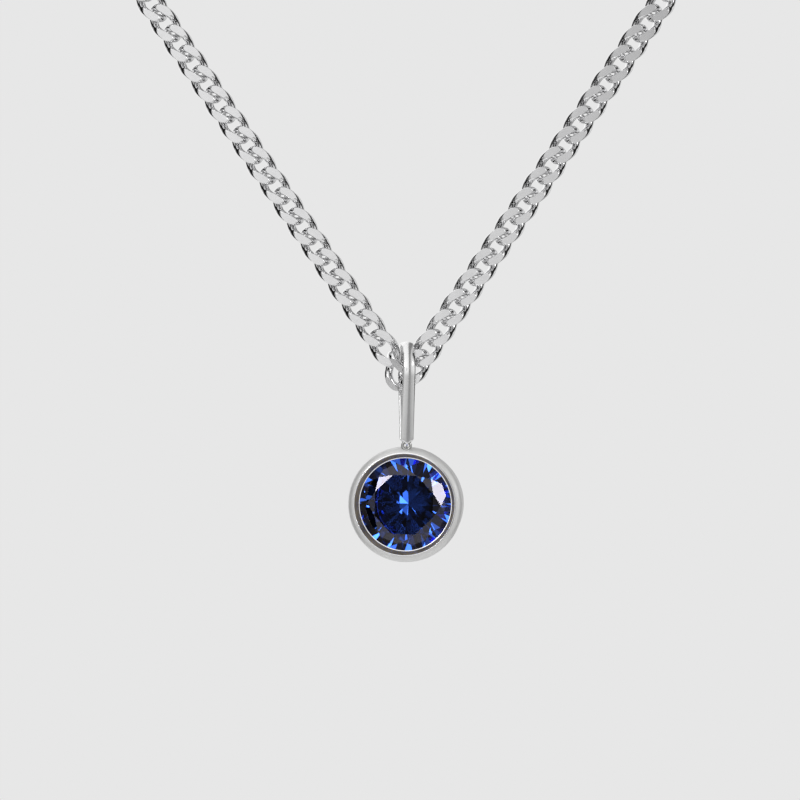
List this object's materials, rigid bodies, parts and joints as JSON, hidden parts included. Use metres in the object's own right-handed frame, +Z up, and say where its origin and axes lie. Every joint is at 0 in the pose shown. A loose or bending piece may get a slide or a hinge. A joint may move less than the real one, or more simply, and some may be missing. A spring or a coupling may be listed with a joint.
{
  "type": "pendant necklace",
  "caption": "Worn pendant necklace: round blue stone in a thick bezel on a tall half-round bail, flat curb chain falling in a V, closed at the nape by a lobster clasp.",
  "frame": {"origin": "midway between the two points where the chain leaves the neck and starts to hang", "axes": "+Z up with the necklace worn, the pendant faces -Y, +Y to the nape, +X to the wearer's left hand side as seen in front view right"},
  "size_m": [0.123, 0.0855, 0.1185],
  "materials": {
    "silver": "polished",
    "satin_silver": "satin outside, bright crest",
    "spring_wire": "drawn wire",
    "blue_stone": "polished facets"
  },
  "bodies": {
    "neck_chain": {"left_neck_chain_front": "silver", "left_neck_chain_back": "silver", "right_neck_chain_front": "silver", "right_neck_chain_back": "silver"},
    "drape_1": {"left_strand_1": "silver", "right_strand_1": "silver"},
    "drape_2": {"left_strand_2": "silver", "right_strand_2": "silver"},
    "drape_3": {"left_strand_3": "silver", "right_strand_3": "silver"},
    "drape_4": {"left_strand_4": "silver", "right_strand_4": "silver"},
    "drape_5": {"left_strand_5": "silver", "right_strand_5": "silver"},
    "drape_6": {"left_strand_6": "silver", "right_strand_6": "silver"},
    "drape_7": {"left_strand_7": "silver", "right_strand_7": "silver", "left_centre_link": "silver", "right_centre_link": "silver"},
    "bail": {"bail": "silver"},
    "pendant": {"bezel_setting": "satin_silver", "stone": "blue_stone", "pendant_loop": "silver"},
    "clasp": {"clasp_body": "silver", "clasp_rivet": "silver", "clasp_spring": "spring_wire"},
    "clasp_lever": {"clasp_lever": "silver"},
    "clasp_jump_ring": {"clasp_jump_ring": "silver"},
    "end_ring": {"end_ring": "silver"}
  },
  "joints": [
    {"name": "drape_1_swing", "type": "hinge", "parent": "neck_chain", "child": "drape_1", "pos_m": [0, 0, 0], "axis": [1, 0, 0], "range_deg": [-18, 18]},
    {"name": "drape_2_swing", "type": "hinge", "parent": "drape_1", "child": "drape_2", "pos_m": [0, 0, -0.02155], "axis": [1, 0, 0], "range_deg": [-18, 18]},
    {"name": "drape_3_swing", "type": "hinge", "parent": "drape_2", "child": "drape_3", "pos_m": [0, 0, -0.0393], "axis": [1, 0, 0], "range_deg": [-18, 18]},
    {"name": "drape_4_swing", "type": "hinge", "parent": "drape_3", "child": "drape_4", "pos_m": [0, 0, -0.05324], "axis": [1, 0, 0], "range_deg": [-18, 18]},
    {"name": "drape_5_swing", "type": "hinge", "parent": "drape_4", "child": "drape_5", "pos_m": [0, 0, -0.06338], "axis": [1, 0, 0], "range_deg": [-18, 18]},
    {"name": "drape_6_swing", "type": "hinge", "parent": "drape_5", "child": "drape_6", "pos_m": [0, 0, -0.07099], "axis": [1, 0, 0], "range_deg": [-18, 18]},
    {"name": "drape_7_swing", "type": "hinge", "parent": "drape_6", "child": "drape_7", "pos_m": [0, 0, -0.07606], "axis": [1, 0, 0], "range_deg": [-18, 18]},
    {"name": "bail_swing", "type": "hinge", "parent": "drape_7", "child": "bail", "pos_m": [0, 0, -0.07797], "axis": [1, 0, 0], "range_deg": [-12, 10]},
    {"name": "pendant_swing", "type": "hinge", "parent": "bail", "child": "pendant", "pos_m": [0.00003, 0, -0.08278], "axis": [-0.1478, -0.989, 0], "range_deg": [-45, 45]},
    {"name": "clasp_roll", "type": "hinge", "parent": "neck_chain", "child": "clasp", "pos_m": [0.00054, 0.082, 0.026], "axis": [1, 0, 0], "range_deg": [-15, 15]},
    {"name": "clasp_lever_open", "type": "hinge", "parent": "clasp", "child": "clasp_lever", "pos_m": [0.00051, 0.082, 0.02667], "axis": [0, 1, 0], "range_deg": [0, 25], "stiffness_Nm_per_rad": 0.002, "springref_deg": -17.19},
    {"name": "jump_ring_turn", "type": "hinge", "parent": "neck_chain", "child": "clasp_jump_ring", "pos_m": [-0.00541, 0.082, 0.026], "axis": [0, 0, 1], "continuous": true},
    {"name": "end_ring_turn", "type": "hinge", "parent": "neck_chain", "child": "end_ring", "pos_m": [0.005, 0.082, 0.026], "axis": [0, 0, 1], "continuous": true}
  ]
}
